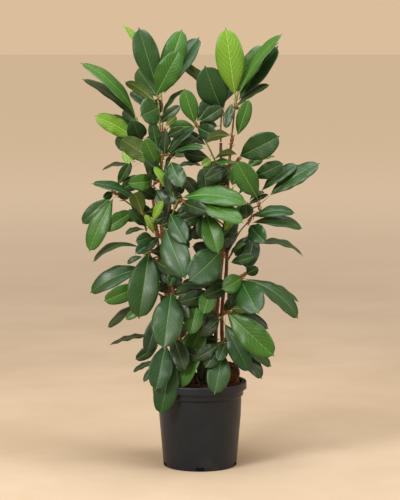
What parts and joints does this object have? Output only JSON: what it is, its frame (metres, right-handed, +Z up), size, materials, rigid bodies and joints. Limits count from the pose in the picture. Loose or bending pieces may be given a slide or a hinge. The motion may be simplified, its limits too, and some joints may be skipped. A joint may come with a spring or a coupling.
{
  "type": "potted african fig",
  "caption": "African fig plant with long glossy leaves on several woody stems, standing in a round black nursery pot.",
  "frame": {"origin": "centre of the pot's underside", "axes": "+Z up along the pot's axis, -Y is the plant's front"},
  "size_m": [0.6043, 0.4025, 1.1289],
  "materials": {
    "pot_plastic": "satin",
    "potting_mix": "matte",
    "root_fibre": "matte",
    "bark": "matte",
    "leaf": "satin"
  },
  "bodies": {
    "root": {"pot": "pot_plastic", "potting_soil": "potting_mix", "root_ball_left": "root_fibre", "root_ball_right": "root_fibre", "shoot_centre_low": "leaf", "shoot_centre_low_back": "leaf", "shoot_centre_top": "leaf", "shoot_left_arch": "leaf", "shoot_left_arm": "leaf", "shoot_left_arm_back": "leaf", "shoot_left_back_sprig": "leaf", "shoot_left_crown_front": "leaf", "shoot_left_crown_front_back": "leaf", "shoot_left_crown_rear": "leaf", "shoot_left_fan": "leaf", "shoot_left_front": "leaf", "shoot_left_front_back": "leaf", "shoot_left_front_low": "leaf", "shoot_left_front_low_back": "leaf", "shoot_left_inner": "leaf", "shoot_left_inner_back": "leaf", "shoot_left_inner_top": "leaf", "shoot_left_inner_top_back": "leaf", "shoot_left_low_arm": "leaf", "shoot_left_low_arm_back": "leaf", "shoot_left_low_front": "leaf", "shoot_left_low_front_back": "leaf", "shoot_left_lower_arm": "leaf", "shoot_left_neck": "leaf", "shoot_left_shoulder": "leaf", "shoot_left_shoulder_back": "leaf", "shoot_left_side": "leaf", "shoot_left_skirt": "leaf", "shoot_left_skirt_back": "leaf", "shoot_right_crown_front": "leaf", "shoot_right_crown_front_back": "leaf", "shoot_right_crown_left": "leaf", "shoot_right_elbow": "leaf", "shoot_right_elbow_low": "leaf", "shoot_right_front": "leaf", "shoot_right_front_back": "leaf", "shoot_right_hand": "leaf", "shoot_right_hand_back": "leaf", "shoot_right_low": "leaf", "shoot_right_low_back": "leaf", "shoot_right_middle": "leaf", "shoot_right_middle_back": "leaf", "shoot_right_neck": "leaf", "shoot_right_shoulder": "leaf", "shoot_right_shoulder_back": "leaf", "shoot_right_skirt": "leaf", "shoot_right_skirt_back": "leaf", "shoot_right_skirt_low": "leaf", "shoot_right_skirt_low_back": "leaf", "shoot_right_sprig": "leaf", "stem_left_front": "bark", "stem_left_middle": "bark", "stem_left_rear": "bark", "stem_right_front": "bark", "stem_right_rear": "bark"}
  },
  "joints": []
}
